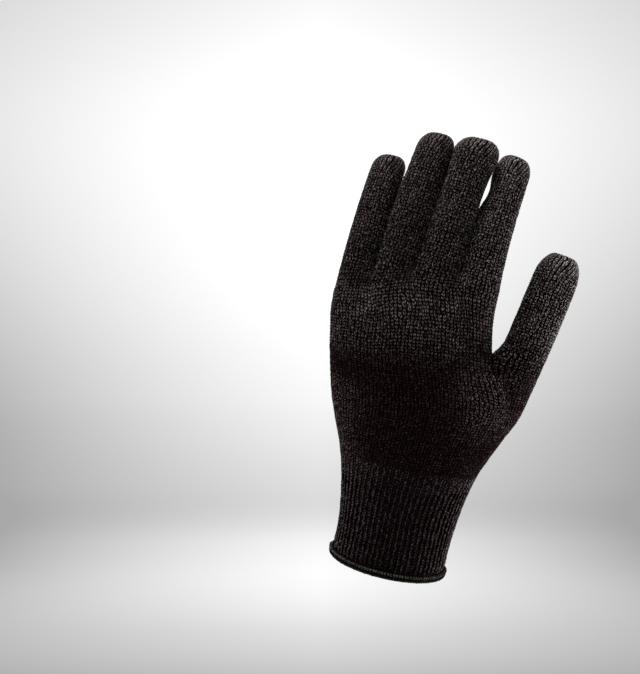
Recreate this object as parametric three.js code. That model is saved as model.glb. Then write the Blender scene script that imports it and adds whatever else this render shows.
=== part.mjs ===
// Winter glove: a thin knitted glove for the left hand, in the shape that a hand gives it.
// Millimetres. The wrist opening is centred on the origin and the glove stands along +Z,
// with the back of the hand to -Y, the palm to +Y and the thumb to +X.
// Every piece is a hollow knitted wall. Rings start at the thumb side (+X) and turn by way of
// the back of the hand, the little finger's side and the palm.

import * as THREE from "three";
import { mergeVertices } from "three/addons/utils/BufferGeometryUtils.js";

// Walls and gaps
const KNIT_WALL = 1.5;
const RIB_WALL = 1.6;
const GAP = 0.6;

// Cuff and hem
const CUFF_TOP = 57;
const RIB_COUNT = 62;
const RIB_HEIGHT = 0.8;
const RIB_FADE = 14;
const HEM_HEIGHT = 3.8;
const HEM_THICKNESS = 3.6;
const HEM_INSET = 0.7;

// The height where the thumb leaves the palm
const THUMB_FORK = 118.6;

// How far below a fork its branches still show in the hand
const FINGER_LOBE_FADE = 24;
const THUMB_LOBE_FADE = 40;

// How far round a digit the pull of a web is felt, in radians
const WEB_SPREAD = 0.9;

// A fingertip closes on a short line across the finger, this share of its width, and its outline is
// squarer than an ellipse, whose power is 2
const TIP_LINE = 0.3;
const TIP_SQUARE = 2.05;

// How far down a digit the tilt of its tip begins
const TILT_LENGTH = 22;

// Where the waist of a digit is deepest, below its end, and how far it reaches up and down from there
const WAIST_BELOW_TIP = 23;
const WAIST_REACH = 11;

// How finely each surface is divided
const DIGIT_SIDES = 16;
const FINGER_WEB_SIDES = 1;
const THUMB_WEB_SIDES = 2;
const DIGIT_BODY_ROWS = 8;
const DIGIT_DOME_ROWS = 4;
const ROOT_CROWDING = 1.3;
const LOWER_HAND_ROWS = 8;
const UPPER_HAND_ROWS = 5;
const CUFF_ROWS = 6;
const HEM_SIDES = 48;
const HEM_SECTION_SIDES = 8;
const OVAL_STEPS = 240;
const SPINE_STEPS = 24;

// Outlines of the wrist and of the hand with the base of the thumb: the four edges at each height,
// how far the little finger's side and the thumb's side bend towards the palm, and how square the
// outline is (2 is an ellipse)
const LOWER_SECTIONS = [
  { z: 0, left: -31.3, right: 30.0, back: -26.0, palm: 26.0, littleBend: 0, thumbBend: 0, square: 2.0 },
  { z: 14, left: -30.3, right: 29.3, back: -24.5, palm: 24.5, littleBend: 0, thumbBend: 0, square: 2.0 },
  { z: 36, left: -32.8, right: 31.0, back: -22.5, palm: 22.5, littleBend: 0, thumbBend: 0, square: 2.05 },
  { z: 57, left: -37.8, right: 35.2, back: -21.0, palm: 22.0, littleBend: 0, thumbBend: 1, square: 2.1 },
  { z: 75, left: -44.8, right: 43.0, back: -19.8, palm: 22.0, littleBend: 1, thumbBend: 4, square: 2.2 },
  { z: 93, left: -50.8, right: 50.8, back: -18.8, palm: 20.5, littleBend: 2, thumbBend: 7, square: 2.25 },
  { z: 108, left: -54.2, right: 53.6, back: -18.0, palm: 18.0, littleBend: 3, thumbBend: 9, square: 2.3 },
  { z: 122, left: -56.7, right: 56.0, back: -17.0, palm: 15.5, littleBend: 3, thumbBend: 10, square: 2.3 },
];

// Outlines of the palm alone, below the fingers and beside the thumb
const UPPER_SECTIONS = [
  { z: 80, left: -46.5, right: 29.5, back: -19.5, palm: 20.0, littleBend: 1, thumbBend: 1, square: 2.3 },
  { z: 108, left: -54.0, right: 29.5, back: -18.0, palm: 17.0, littleBend: 3, thumbBend: 1, square: 2.4 },
  { z: 123, left: -56.6, right: 27.6, back: -16.8, palm: 15.0, littleBend: 3, thumbBend: 1, square: 2.4 },
  { z: 137, left: -57.4, right: 25.4, back: -14.8, palm: 12.5, littleBend: 4, thumbBend: 1, square: 2.5 },
  { z: 157, left: -57.4, right: 24.6, back: -12.0, palm: 9.5, littleBend: 4, thumbBend: 1, square: 2.5 },
];

// Webs between neighbouring digits, and the free edges beside the outer ones: each is a short line
// through the glove, from its back to its palm, of the half-length given
const WEBS = {
  littleEdge: { x: -57.6, y: 2.5, z: 142, half: 0 },
  littleRing: { x: -40.6, y: 0.5, z: 146, half: 4.5 },
  ringMiddle: { x: -20.8, y: -1.0, z: 153, half: 5.0 },
  middleIndex: { x: 2.0, y: -1.0, z: 155, half: 5.0 },
  indexEdge: { x: 24.4, y: -0.5, z: 153, half: 0 },
  thumb: { x: 28.8, y: 3.0, z: THUMB_FORK, half: 7.0 },
  thumbEdge: { x: 55.2, y: 9.0, z: 115, half: 0 },
};

// Digits, each between two webs. Reach is how far the thumb's web stands out from the thumb's side, and
// fade how far up the digit the pull of its webs lasts. Lean is sideways from upright and bow its change
// along the digit; flex is how far the root points to the palm and curl how much more the digit bends
// that way, all in degrees. The widths are those at a third, at two thirds and at the end of the body.
// Depth is a share of the width, the dome is the rounded end, and tilt is its slope, up to the thumb's side.
// The waist is how far the side away from the thumb is drawn in below the last joint.
const DIGITS = {
  little_finger: {
    left: "littleEdge", right: "littleRing", webSides: FINGER_WEB_SIDES, reach: 0, fade: 14,
    lean: 3.9, bow: 3.2, flex: 8, curl: 26,
    length: 69.6, lowWidth: 17.8, highWidth: 17.9, tipWidth: 17.0, depth: 0.92,
    dome: 8.5, tilt: 0.15, waist: 0, color: 0x251e1e,
  },
  ring_finger: {
    left: "littleRing", right: "ringMiddle", webSides: FINGER_WEB_SIDES, reach: 0, fade: 14,
    lean: 5.4, bow: 3.6, flex: 5, curl: 24,
    length: 79.8, lowWidth: 19.7, highWidth: 19.8, tipWidth: 18.6, depth: 0.92,
    dome: 9.5, tilt: 0.16, waist: 0, color: 0x241d1d,
  },
  middle_finger: {
    left: "ringMiddle", right: "middleIndex", webSides: FINGER_WEB_SIDES, reach: 0, fade: 14,
    lean: 4.6, bow: 5.4, flex: 4, curl: 22,
    length: 76.4, lowWidth: 21.5, highWidth: 20.2, tipWidth: 23.0, depth: 0.85,
    dome: 9.5, tilt: 0.14, waist: 0, color: 0x262020,
  },
  index_finger: {
    left: "middleIndex", right: "indexEdge", webSides: FINGER_WEB_SIDES, reach: 0, fade: 14,
    lean: 1.5, bow: 10, flex: 9, curl: 24,
    length: 72.5, lowWidth: 20.4, highWidth: 19.3, tipWidth: 18.2, depth: 0.94,
    dome: 10.5, tilt: 0.02, waist: 1.6, color: 0x2b2424,
  },
  thumb: {
    left: "thumb", right: "thumbEdge", webSides: THUMB_WEB_SIDES, reach: 3.5, fade: 12,
    lean: 11.5, bow: -0.6, flex: 8, curl: 12,
    length: 63.3, lowWidth: 23.2, highWidth: 23.3, tipWidth: 22.8, depth: 0.86,
    dome: 14, tilt: 0.04, waist: 0, color: 0x2a2323,
  },
};
const HAND_COLOR = 0x1f1718;
const CUFF_COLOR = 0x1c1415;
const HEM_COLOR = 0x1e1818;

const { clamp, degToRad, lerp, smoothstep } = THREE.MathUtils;
const point = (x, y, z) => new THREE.Vector3(x, y, z);
const mix = (a, b, share) => a.clone().lerp(b, share);
const softStep = (value) => smoothstep(value, 0, 1);
const turn = (step, steps) => (2 * Math.PI * step) / steps;

// A section table at a height between its rows, each column on a smooth curve through them.
function sectionAt(rows, z) {
  let i = 0;
  while (i < rows.length - 2 && z > rows[i + 1].z) i += 1;
  const [a, b] = [rows[i], rows[i + 1]];
  const before = rows[Math.max(0, i - 1)];
  const after = rows[Math.min(rows.length - 1, i + 2)];
  const span = b.z - a.z;
  const share = clamp((z - a.z) / span, 0, 1);
  const square = share * share;
  const cube = square * share;
  const section = {};
  for (const key of Object.keys(a)) {
    const slopeA = ((b[key] - before[key]) / (b.z - before.z)) * span;
    const slopeB = ((after[key] - a[key]) / (after.z - a.z)) * span;
    section[key] =
      a[key] * (2 * cube - 3 * square + 1) +
      b[key] * (3 * square - 2 * cube) +
      slopeA * (cube - 2 * square + share) +
      slopeB * (cube - square);
  }
  return section;
}

// One point of a squared oval whose two sides bend towards the palm.
function ovalPoint(section, z, angle) {
  const { left, right, back, palm, littleBend, thumbBend, square } = section;
  const power = 2 / square;
  const across = Math.sign(Math.cos(angle)) * Math.abs(Math.cos(angle)) ** power;
  const through = Math.sign(Math.sin(angle)) * Math.abs(Math.sin(angle)) ** power;
  const bend = (across > 0 ? thumbBend : littleBend) * across * across;
  const x = (right + left) / 2 + ((right - left) / 2) * across;
  const y = (back + palm) / 2 - ((palm - back) / 2) * through;
  return point(x, y + bend, z);
}

// A ring of points at equal distances round the oval of a table at one height.
function ovalRing(sections, z, count) {
  const section = sectionAt(sections, z);
  const fine = [ovalPoint(section, z, 0)];
  const reach = [0];
  for (let i = 1; i <= OVAL_STEPS; i++) {
    fine.push(ovalPoint(section, z, turn(i, OVAL_STEPS)));
    reach.push(reach[i - 1] + fine[i].distanceTo(fine[i - 1]));
  }
  const ring = [];
  let i = 1;
  for (let k = 0; k < count; k++) {
    const wanted = (reach[OVAL_STEPS] * k) / count;
    while (reach[i] < wanted) i += 1;
    ring.push(mix(fine[i - 1], fine[i], (wanted - reach[i - 1]) / (reach[i] - reach[i - 1])));
  }
  return ring;
}

// A digit's row with its two webs, the middle and width of its root, and the root's slope from web to web.
function placedDigit(row) {
  const [left, right] = [WEBS[row.left], WEBS[row.right]];
  const span = point(right.x - left.x, 0, right.z - left.z);
  const middle = point((left.x + right.x) / 2, (left.y + right.y) / 2, (left.z + right.z) / 2);
  const lean = degToRad(row.lean);
  const across = span.dot(point(Math.cos(lean), 0, -Math.sin(lean)));
  const along = span.dot(point(Math.sin(lean), 0, Math.cos(lean)));
  return {
    ...row,
    left,
    right,
    root: middle.addScaledVector(span.normalize(), row.reach / 2),
    rootWidth: across - row.reach,
    slope: along / across,
  };
}

// A digit's three directions at a share of its length.
function digitDirections(digit, share) {
  const lean = degToRad(digit.lean + digit.bow * share);
  const bend = degToRad(digit.flex + digit.curl * share);
  return {
    along: point(Math.sin(lean) * Math.cos(bend), Math.sin(bend), Math.cos(lean) * Math.cos(bend)),
    across: point(Math.cos(lean), 0, -Math.sin(lean)),
    through: point(-Math.sin(lean) * Math.sin(bend), Math.cos(bend), -Math.cos(lean) * Math.sin(bend)),
  };
}

// The middle of a digit and its directions at a distance from the root; below the root it is straight.
function spineAt(digit, distance) {
  const middle = digit.root.clone();
  const step = distance / SPINE_STEPS;
  for (let i = 0; i < SPINE_STEPS; i++) {
    const share = Math.max(0, ((i + 0.5) * step) / digit.length);
    middle.addScaledVector(digitDirections(digit, share).along, step);
  }
  return { middle, ...digitDirections(digit, Math.max(0, distance / digit.length)) };
}

// A cubic curve through four values, given at the start, at each third and at the end.
function throughThirds([start, low, high, end], share) {
  const [fromLow, fromHigh, fromEnd] = [share - 1 / 3, share - 2 / 3, share - 1];
  return (
    -4.5 * start * fromLow * fromHigh * fromEnd +
    13.5 * low * share * fromHigh * fromEnd -
    13.5 * high * share * fromLow * fromEnd +
    4.5 * end * share * fromLow * fromHigh
  );
}

// Half the width and half the depth of a digit at a distance from the root.
function digitHalves(digit, distance) {
  const { rootWidth, lowWidth, highWidth, tipWidth } = digit;
  const body = digit.length - digit.dome;
  const width = throughThirds([rootWidth, lowWidth, highWidth, tipWidth], clamp(distance / body, 0, 1));
  const intoDome = clamp((distance - body) / digit.dome, 0, 1);
  const shrink = (1 - intoDome ** TIP_SQUARE) ** (1 / TIP_SQUARE);
  return {
    across: (width / 2) * lerp(TIP_LINE, 1, shrink),
    through: (width / 2) * digit.depth * shrink,
  };
}

// A digit's plain surface, before it is drawn to its webs.
function tubePoint(digit, angle, distance) {
  const spine = spineAt(digit, distance);
  const half = digitHalves(digit, distance);
  const fromWaist = Math.abs(digit.length - distance - WAIST_BELOW_TIP);
  const drawnIn = digit.waist * softStep(1 - fromWaist / WAIST_REACH);
  const across = half.across * Math.cos(angle) + drawnIn * Math.max(0, -Math.cos(angle));
  const rootSlope = digit.slope * (1 - softStep(distance / digit.fade));
  const tipSlope = digit.tilt * softStep(1 - (digit.length - distance) / TILT_LENGTH);
  return spine.middle
    .clone()
    .addScaledVector(spine.across, across)
    .addScaledVector(spine.through, -half.through * Math.sin(angle))
    .addScaledVector(spine.along, (rootSlope + tipSlope) * across);
}

// How far a ring's point is moved so that neighbours meet along the web between them. The point lies at
// fromSide, counted from the side that faces the web; the points up to halfWeb lie on the web's line.
function webShift(web, halfWeb, spread, fromSide, plainPoint) {
  const beyond = Math.max(0, Math.abs(fromSide) - halfWeb);
  const hold = Math.max(0, 1 - beyond / spread) ** 2;
  const held = clamp(fromSide, -halfWeb, halfWeb);
  const target = point(web.x, web.y - (web.half * held) / halfWeb, web.z);
  return target.sub(plainPoint(held)).multiplyScalar(hold);
}

// A digit's surface: a bent tube, drawn to its webs at the root.
function digitPoint(digit, angle, distance) {
  const result = tubePoint(digit, angle, distance);
  const pull = 1 - softStep(distance / digit.fade);
  if (pull === 0) return result;
  const halfWeb = turn(digit.webSides, DIGIT_SIDES);
  for (const [web, side, sign] of [[digit.right, 0, 1], [digit.left, Math.PI, -1]]) {
    if (web.half === 0) continue;
    const fromSide = sign * Math.atan2(Math.sin(angle - side), Math.cos(angle - side));
    const plainPoint = (held) => tubePoint(digit, side + sign * held, 0);
    result.addScaledVector(webShift(web, halfWeb, WEB_SPREAD, fromSide, plainPoint), pull);
  }
  return result;
}

const digits = Object.fromEntries(Object.entries(DIGITS).map(([name, row]) => [name, placedDigit(row)]));
const fingers = [digits.index_finger, digits.middle_finger, digits.ring_finger, digits.little_finger];

// The columns of the hand that run up into one digit on one face, each with its angle on that digit.
function digitColumns(digit, face) {
  const rightWeb = digit.right.half > 0 ? digit.webSides : 0;
  const leftWeb = digit.left.half > 0 ? digit.webSides : 0;
  const halfTurn = DIGIT_SIDES / 2;
  const first = face === "back" ? rightWeb : halfTurn + leftWeb;
  const last = face === "back" ? halfTurn - leftWeb : DIGIT_SIDES - rightWeb;
  const columns = [];
  for (let i = first; i < last; i++) columns.push({ digit, angle: turn(i, DIGIT_SIDES) });
  return columns;
}

const upperColumns = [
  ...fingers.flatMap((digit) => digitColumns(digit, "back")),
  ...fingers.toReversed().flatMap((digit) => digitColumns(digit, "palm")),
];
const lowerColumns = [
  ...digitColumns(digits.thumb, "back"),
  ...upperColumns.slice(THUMB_WEB_SIDES, -THUMB_WEB_SIDES),
  ...digitColumns(digits.thumb, "palm"),
];

// The palm's thumb edge is drawn to the thumb's web as a digit's root is.
function palmWebShift(column, z) {
  const pull = 1 - softStep(Math.abs(z - THUMB_FORK) / digits.thumb.fade);
  if (pull === 0) return point(0, 0, 0);
  const count = upperColumns.length;
  const fromSide = column > count / 2 ? column - count : column;
  const plain = ovalRing(UPPER_SECTIONS, THUMB_FORK, count);
  const plainPoint = (held) => plain[(held + count) % count];
  const shift = webShift(WEBS.thumb, THUMB_WEB_SIDES, 2 * THUMB_WEB_SIDES, fromSide, plainPoint);
  return shift.multiplyScalar(pull);
}

// The palm at one height: an oval that turns into the four fingers' roots at its top.
function palmPoint(column, z) {
  const { digit, angle } = upperColumns[column];
  const below = digitPoint(digit, angle, 0).z - z;
  const oval = ovalRing(UPPER_SECTIONS, z, upperColumns.length)[column];
  const lobe = digitPoint(digit, angle, -below);
  return mix(oval, lobe, 1 - softStep(below / FINGER_LOBE_FADE)).add(palmWebShift(column, z));
}

// The hand between the thumb's fork and the fingers, at a share of its height.
function upperHandPoint(column, share) {
  const { digit, angle } = upperColumns[column];
  return palmPoint(column, lerp(THUMB_FORK, digitPoint(digit, angle, 0).z, share));
}

// The hand between the cuff and the thumb's fork: an oval that turns into the palm and the thumb's root.
function lowerHandPoint(column, share) {
  const { digit, angle } = lowerColumns[column];
  const isThumb = digit === digits.thumb;
  const top = isThumb ? digitPoint(digit, angle, 0).z : THUMB_FORK;
  const z = lerp(CUFF_TOP + GAP, top, share);
  const palmColumn = column - digitColumns(digits.thumb, "back").length + THUMB_WEB_SIDES;
  const branch = isThumb ? digitPoint(digit, angle, z - top) : palmPoint(palmColumn, z);
  const oval = ovalRing(LOWER_SECTIONS, z, lowerColumns.length)[column];
  return mix(oval, branch, 1 - softStep((top - z) / THUMB_LOBE_FADE));
}

// The triangles of closed rings, one above the other, as a flat list of corners that face out.
function ringSurface(rings) {
  const corners = [];
  for (let i = 0; i < rings.length - 1; i++) {
    const [low, high] = [rings[i], rings[i + 1]];
    for (let k = 0; k < low.length; k++) {
      const next = (k + 1) % low.length;
      corners.push(low[next], low[k], high[k], low[next], high[k], high[next]);
    }
  }
  return corners;
}

function geometryOf(corners) {
  return mergeVertices(new THREE.BufferGeometry().setFromPoints(corners));
}

// The triangles of a surface as triples of its merged points, without those that have no area.
function trianglesOf(geometry) {
  const triangles = [];
  for (let i = 0; i < geometry.index.count; i += 3) {
    const triangle = [0, 1, 2].map((k) => geometry.index.getX(i + k));
    if (new Set(triangle).size === 3) triangles.push(triangle);
  }
  return triangles;
}

// The edges of a surface that have a triangle on one side only.
function openEdges(triangles) {
  const edges = triangles.flatMap(([a, b, c]) => [[a, b], [b, c], [c, a]]);
  const known = new Set(edges.map(([from, to]) => `${from} ${to}`));
  return edges.filter(([from, to]) => !known.has(`${to} ${from}`));
}

// The direction that faces out of a surface at each of its points.
function outwardAt(places, triangles) {
  const outward = places.map(() => point(0, 0, 0));
  for (const triangle of triangles) {
    const [a, b, c] = triangle.map((i) => places[i]);
    const normal = b.clone().sub(a).cross(c.clone().sub(a));
    for (const i of triangle) outward[i].add(normal);
  }
  return outward.map((direction) => direction.normalize());
}

// Gives an open surface a wall: an inner copy, and a rim along each open edge.
function walled(corners, wall) {
  const surface = geometryOf(corners);
  const position = surface.getAttribute("position");
  const triangles = trianglesOf(surface);
  const outer = [];
  for (let i = 0; i < position.count; i++) outer.push(point(0, 0, 0).fromBufferAttribute(position, i));
  const outward = outwardAt(outer, triangles);
  const inner = outer.map((place, i) => place.clone().addScaledVector(outward[i], -wall));
  const solid = [];
  for (const [a, b, c] of triangles) solid.push(outer[a], outer[b], outer[c], inner[a], inner[c], inner[b]);
  for (const [from, to] of openEdges(triangles)) {
    solid.push(outer[to], outer[from], inner[from], outer[to], inner[from], inner[to]);
  }
  return geometryOf(solid);
}

// One ring of a digit, its sides drawn in by half a gap where a neighbour may lie beside it.
function digitRing(digit, distance) {
  const { across } = spineAt(digit, distance);
  const ring = [];
  for (let k = 0; k < DIGIT_SIDES; k++) {
    const angle = turn(k, DIGIT_SIDES);
    ring.push(digitPoint(digit, angle, distance).addScaledVector(across, (-GAP / 2) * Math.cos(angle)));
  }
  return ring;
}

// A digit from its root, a gap above the hand, to the line that closes its tip.
function digitGeometry(digit) {
  const body = digit.length - digit.dome;
  const rings = [];
  for (let i = 0; i < DIGIT_BODY_ROWS; i++) {
    rings.push(digitRing(digit, lerp(GAP, body, (i / DIGIT_BODY_ROWS) ** ROOT_CROWDING)));
  }
  for (let i = 0; i <= DIGIT_DOME_ROWS; i++) {
    rings.push(digitRing(digit, body + digit.dome * Math.sin(turn(i, 4 * DIGIT_DOME_ROWS))));
  }
  const tip = rings.at(-1);
  for (let k = 1; k < DIGIT_SIDES / 2; k++) tip[DIGIT_SIDES - k] = tip[k];
  return walled(ringSurface(rings), KNIT_WALL);
}

function handGeometry() {
  const lower = [];
  for (let i = 0; i <= LOWER_HAND_ROWS; i++) {
    lower.push(lowerColumns.map((_, column) => lowerHandPoint(column, i / LOWER_HAND_ROWS)));
  }
  const upper = [];
  for (let i = 0; i <= UPPER_HAND_ROWS; i++) {
    upper.push(upperColumns.map((_, column) => upperHandPoint(column, i / UPPER_HAND_ROWS)));
  }
  return walled([...ringSurface(lower), ...ringSurface(upper)], KNIT_WALL);
}

// The cuff: every other column is a furrow between two ribs, and the ribs fade into the hand's plain knit.
function cuffGeometry() {
  const rings = [];
  for (let i = 0; i <= CUFF_ROWS; i++) {
    const z = lerp(HEM_HEIGHT + GAP, CUFF_TOP, i / CUFF_ROWS);
    const furrow = RIB_HEIGHT * softStep((CUFF_TOP - z) / RIB_FADE);
    const ring = ovalRing(LOWER_SECTIONS, z, 2 * RIB_COUNT);
    for (let k = 1; k < ring.length; k += 2) {
      ring[k].addScaledVector(point(ring[k].x, ring[k].y, 0).normalize(), -furrow);
    }
    rings.push(ring);
  }
  return walled(ringSurface(rings), RIB_WALL);
}

// The hem: a round overlocked roll that follows the cuff's lower edge.
function hemGeometry() {
  const rings = ovalRing(LOWER_SECTIONS, HEM_HEIGHT / 2, HEM_SIDES).map((place) => {
    const outward = point(place.x, place.y, 0).normalize();
    const section = [];
    for (let k = 0; k < HEM_SECTION_SIDES; k++) {
      const angle = -turn(k, HEM_SECTION_SIDES);
      const shift = (HEM_THICKNESS / 2) * Math.cos(angle) - HEM_INSET;
      const height = (HEM_HEIGHT / 2) * (1 + Math.sin(angle));
      section.push(place.clone().addScaledVector(outward, shift).setZ(height));
    }
    return section;
  });
  return geometryOf(ringSurface([...rings, rings[0]]));
}

function piece(name, geometry, color) {
  const material = new THREE.MeshStandardMaterial({ color, roughness: 0.95, metalness: 0 });
  const mesh = new THREE.Mesh(geometry, material);
  mesh.name = name;
  return mesh;
}

const glove = new THREE.Group();
glove.name = "winter_glove";
for (const [name, digit] of Object.entries(digits)) {
  glove.add(piece(name, digitGeometry(digit), digit.color));
}
glove.add(piece("hand", handGeometry(), HAND_COLOR));
glove.add(piece("rib_cuff", cuffGeometry(), CUFF_COLOR));
glove.add(piece("cuff_hem", hemGeometry(), HEM_COLOR));

export default glove;
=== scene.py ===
"""Winter glove: a thin knitted glove for the left hand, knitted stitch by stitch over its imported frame.

Shapes are worked out in millimetres with the formulas of the solids, and meshes are made in metres.
A wale is a column of stitches and a course is a row of them. Wales are counted from the thumb's side
by way of the back of the hand, and an angle round a digit starts and turns the same way. A face is 1
at the back of the hand and -1 at the palm.
"""

import math

import bpy
import numpy as np
from mathutils import Matrix, Vector


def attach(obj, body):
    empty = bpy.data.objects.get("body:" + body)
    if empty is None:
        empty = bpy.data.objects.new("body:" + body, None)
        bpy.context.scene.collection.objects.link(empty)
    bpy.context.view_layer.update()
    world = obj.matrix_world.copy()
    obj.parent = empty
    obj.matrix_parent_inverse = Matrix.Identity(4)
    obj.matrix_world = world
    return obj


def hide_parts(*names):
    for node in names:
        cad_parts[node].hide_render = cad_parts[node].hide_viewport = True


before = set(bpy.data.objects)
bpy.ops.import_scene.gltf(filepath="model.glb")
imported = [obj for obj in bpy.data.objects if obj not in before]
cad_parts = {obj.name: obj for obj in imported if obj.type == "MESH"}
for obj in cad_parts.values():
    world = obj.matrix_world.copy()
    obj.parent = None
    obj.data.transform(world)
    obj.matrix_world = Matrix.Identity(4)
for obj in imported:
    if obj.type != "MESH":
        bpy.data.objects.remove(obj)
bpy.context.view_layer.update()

MM = 0.001
SEED = 7


def table(columns, rows):
    """Rows of values by name, as dictionaries with named columns."""
    return {name: dict(zip(columns, row)) for name, row in rows.items()}


def rows_of(columns):
    """The rows of a table that is written column by column."""
    return [dict(zip(columns, row)) for row in zip(*columns.values())]


# The hand's form, as in the solids
KNIT_WALL = 1.5
CUFF_TOP = 57.0
RIB_COUNT = 62
RIB_FADE = 14.0
HEM_HEIGHT = 3.8
HEM_INSET = 0.7
THUMB_FORK = 118.6
FINGER_LOBE_FADE = 24.0
THUMB_LOBE_FADE = 40.0
WEB_SPREAD = 0.9
TIP_LINE = 0.3
TIP_SQUARE = 2.05
TILT_LENGTH = 22.0
WAIST_BELOW_TIP = 23.0
WAIST_REACH = 11.0
DIGIT_SIDES = 16
SIDE = math.tau / DIGIT_SIDES

# How far below a web its valley shows in the hand, which only the knit has
FINGER_WEB_FADE = 12.0
THUMB_WEB_FADE = 16.0

# Columns of the solids round the hand: the thumb takes the first and the last of the lower hand's, and
# its web the first and the last of the palm's
LOWER_COLUMNS = 60
UPPER_COLUMNS = 52
THUMB_COLUMNS = 6
WEB_COLUMNS = 2
WEB_COLUMN_SPREAD = 2 * WEB_COLUMNS
COLUMN_SHIFT = THUMB_COLUMNS - WEB_COLUMNS

# Outlines of the wrist and of the hand with the base of the thumb, by height
LOWER_SECTIONS = {
    "z": (0, 14, 36, 57, 75, 93, 108, 122),
    "left": (-31.3, -30.3, -32.8, -37.8, -44.8, -50.8, -54.2, -56.7),
    "right": (30.0, 29.3, 31.0, 35.2, 43.0, 50.8, 53.6, 56.0),
    "back": (-26.0, -24.5, -22.5, -21.0, -19.8, -18.8, -18.0, -17.0),
    "palm": (26.0, 24.5, 22.5, 22.0, 22.0, 20.5, 18.0, 15.5),
    "little_bend": (0, 0, 0, 0, 1, 2, 3, 3),
    "thumb_bend": (0, 0, 0, 1, 4, 7, 9, 10),
    "square": (2.0, 2.0, 2.05, 2.1, 2.2, 2.25, 2.3, 2.3),
}

# Outlines of the palm alone, below the fingers and beside the thumb
UPPER_SECTIONS = {
    "z": (80, 108, 123, 137, 157),
    "left": (-46.5, -54.0, -56.6, -57.4, -57.4),
    "right": (29.5, 29.5, 27.6, 25.4, 24.6),
    "back": (-19.5, -18.0, -16.8, -14.8, -12.0),
    "palm": (20.0, 17.0, 15.0, 12.5, 9.5),
    "little_bend": (1, 3, 3, 4, 4),
    "thumb_bend": (1, 1, 1, 1, 1),
    "square": (2.3, 2.4, 2.4, 2.5, 2.5),
}

# Webs between neighbouring digits: a point, and half the length of the line through the glove. The free
# edges beside the outer digits have no line.
WEBS = table(("point", "half"), {
    "little_edge": ((-57.6, 2.5, 142), 0),
    "little_ring": ((-40.6, 0.5, 146), 6.2),
    "ring_middle": ((-20.8, -1.0, 153), 7.0),
    "middle_index": ((2.0, -1.0, 155), 7.0),
    "index_edge": ((24.4, -0.5, 153), 0),
    "thumb_web": ((28.8, 3.0, THUMB_FORK), 7.0),
    "thumb_edge": ((55.2, 9.0, 115), 0),
})

# Digits: their webs, how many of the digit's sides each half of a web takes, how far it stands out from
# the digit and how far up its pull lasts; the wales of a free side and of a web; angles in degrees;
# widths at the thirds and the end of the body, and the depth as a share of the width; how deep and how
# far up it presses on its neighbours; and the yarn
DIGITS = {
    "name": ("little_finger", "ring_finger", "middle_finger", "index_finger", "thumb"),
    "left": ("little_edge", "little_ring", "ring_middle", "middle_index", "thumb_web"),
    "right": ("little_ring", "ring_middle", "middle_index", "index_edge", "thumb_edge"),
    "web_sides": (1, 1, 1, 1, WEB_COLUMNS),
    "reach": (0, 0, 0, 0, 3.5),
    "fade": (14, 14, 14, 14, 12),
    "side_wales": (14, 12, 12, 14, 14),
    "web_wales": (6, 6, 6, 6, 8),
    "lean": (3.9, 5.4, 4.6, 1.5, 11.5),
    "bow": (3.2, 3.6, 5.4, 10, -0.6),
    "flex": (8, 5, 4, 9, 8),
    "curl": (26, 24, 22, 24, 12),
    "length": (69.6, 79.8, 76.4, 72.5, 63.3),
    "dome": (8.5, 9.5, 9.5, 10.5, 14),
    "tilt": (0.15, 0.16, 0.14, 0.02, 0.04),
    "waist": (0, 0, 0, 1.6, 0),
    "low_width": (17.8, 19.7, 21.5, 20.4, 23.2),
    "high_width": (17.9, 19.8, 20.2, 19.3, 23.3),
    "tip_width": (17.0, 18.6, 23.0, 18.2, 22.8),
    "depth": (0.92, 0.92, 0.85, 0.94, 0.86),
    "left_press": (0, 0.35, 0.3, 0.6, 0),
    "left_press_end": (0, 58, 62, 44, 0),
    "right_press": (0.35, 0.3, 0.6, 0, 0),
    "right_press_end": (58, 66, 46, 0, 0),
    "yarn": ("outer_finger_yarn", "outer_finger_yarn", "finger_yarn", "index_yarn", "thumb_yarn"),
}
PRESS_START = 8.0
PRESS_FADE = 8.0

# The fingers from the thumb's side, and the runs of palm columns that go up into them
FINGERS = ("index_finger", "middle_finger", "ring_finger", "little_finger")
PALM_RUNS = rows_of({
    "finger": (*FINGERS, *reversed(FINGERS)),
    "first": (0, 7, 13, 19, 26, 33, 39, 45),
    "last": (7, 13, 19, 26, 33, 39, 45, UPPER_COLUMNS),
    "first_side": (0, 1, 1, 1, 8, 9, 9, 9),
    "face": (1, 1, 1, 1, -1, -1, -1, -1),
})

# Stitches: how many each part has, their rows and columns of points, and their raised legs
LOWER_WALES = 2 * RIB_COUNT
UPPER_WALES = 2 * UPPER_COLUMNS
COURSE = 1.47
CUFF_COURSES = 36
LOWER_COURSES = 44
UPPER_COURSES = 21
WALE_COLUMNS = 6
COURSE_ROWS = 3
INNER_STEP = 2
LEG_LINE = (0.0, 0.75, 1.0, 0.7)
ROW_LINE = (0.45, 0.95, 1.0)
SKEW = 0.8
STITCH_HEIGHT = 0.6
STITCH_SINK = 0.25

# How uneven the stitches are, and over how many courses they become even at a part's ends
UNEVEN_DIGIT = 0.15
UNEVEN_HAND = 0.09
UNEVEN_CUFF = 0.12
UNEVEN_HEIGHT = 0.2
EVEN_END = 1.5

# The cuff: its furrows, the seam above the hem, how far it goes down into the hem, and the height up to
# which its ribs are evenly spread
FURROW = 1.4
FURROW_POWER = 1.3
SEAM_SINK = 1.1
SEAM_FADE = 5.0
HEM_LAP = 1.2
EVEN_RIBS_TOP = 30.0

# Digits: how far up their wales become even, and how far down from the tip they turn, how far they twist,
# how they spread over the dome, and over how many courses the knit closes
ANGLE_EASE = 30.0
TIP_TURN = 26.0
TIP_TWIST = 0.45
TIP_SPREAD = 2.2
LEAST_SPREAD = 0.01
CLOSING_COURSES = 2
LENGTH_STEPS = 60


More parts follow.
